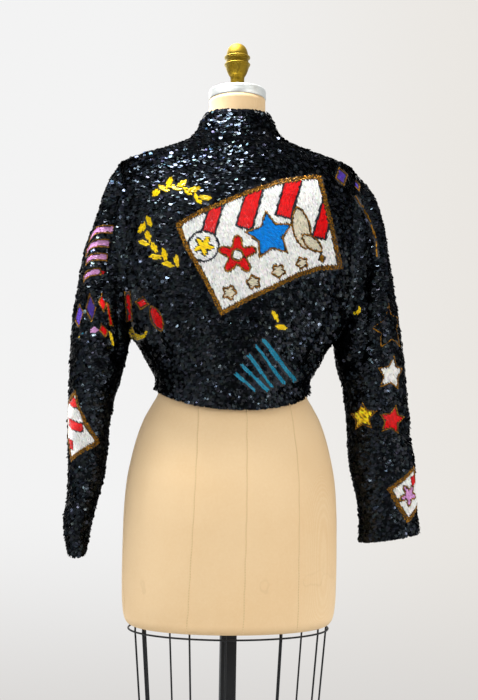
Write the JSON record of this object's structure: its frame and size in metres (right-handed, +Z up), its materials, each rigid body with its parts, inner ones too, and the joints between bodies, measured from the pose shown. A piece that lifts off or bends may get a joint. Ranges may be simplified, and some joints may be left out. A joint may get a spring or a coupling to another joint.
{
  "type": "sequin jacket on a dress form",
  "caption": "Cropped long-sleeved jacket of sequinned cloth, worn by a limbless linen dress form with a wire skirt cage on a post and a round foot.",
  "frame": {"origin": "centre of the foot's underside, on the floor", "axes": "+Z up; +Y towards the wearer's back, the side the picture shows; +X towards the wearer's left"},
  "size_m": [0.5769, 0.39, 1.602],
  "materials": {
    "sequin_cloth": "black sequins sewn close, with bright motifs in coloured sequins and beads",
    "linen": "plain woven linen, pasted smooth",
    "cap_metal": "satin, slightly worn",
    "old_brass": "aged and polished on the high places",
    "black_steel": "black enamel"
  },
  "bodies": {
    "root": {"back": "sequin_cloth", "front_left": "sequin_cloth", "front_right": "sequin_cloth", "sleeve_left": "sequin_cloth", "sleeve_right": "sequin_cloth", "collar": "sequin_cloth", "form_torso": "linen", "neck_cap": "cap_metal", "finial": "old_brass", "post": "black_steel", "foot": "black_steel", "cage_ring_1": "black_steel", "cage_ring_2": "black_steel", "cage_wire_01": "black_steel", "cage_wire_02": "black_steel", "cage_wire_03": "black_steel", "cage_wire_04": "black_steel", "cage_wire_05": "black_steel", "cage_wire_06": "black_steel", "cage_wire_07": "black_steel", "cage_wire_08": "black_steel", "cage_wire_09": "black_steel", "cage_wire_10": "black_steel", "cage_wire_11": "black_steel"}
  },
  "joints": []
}
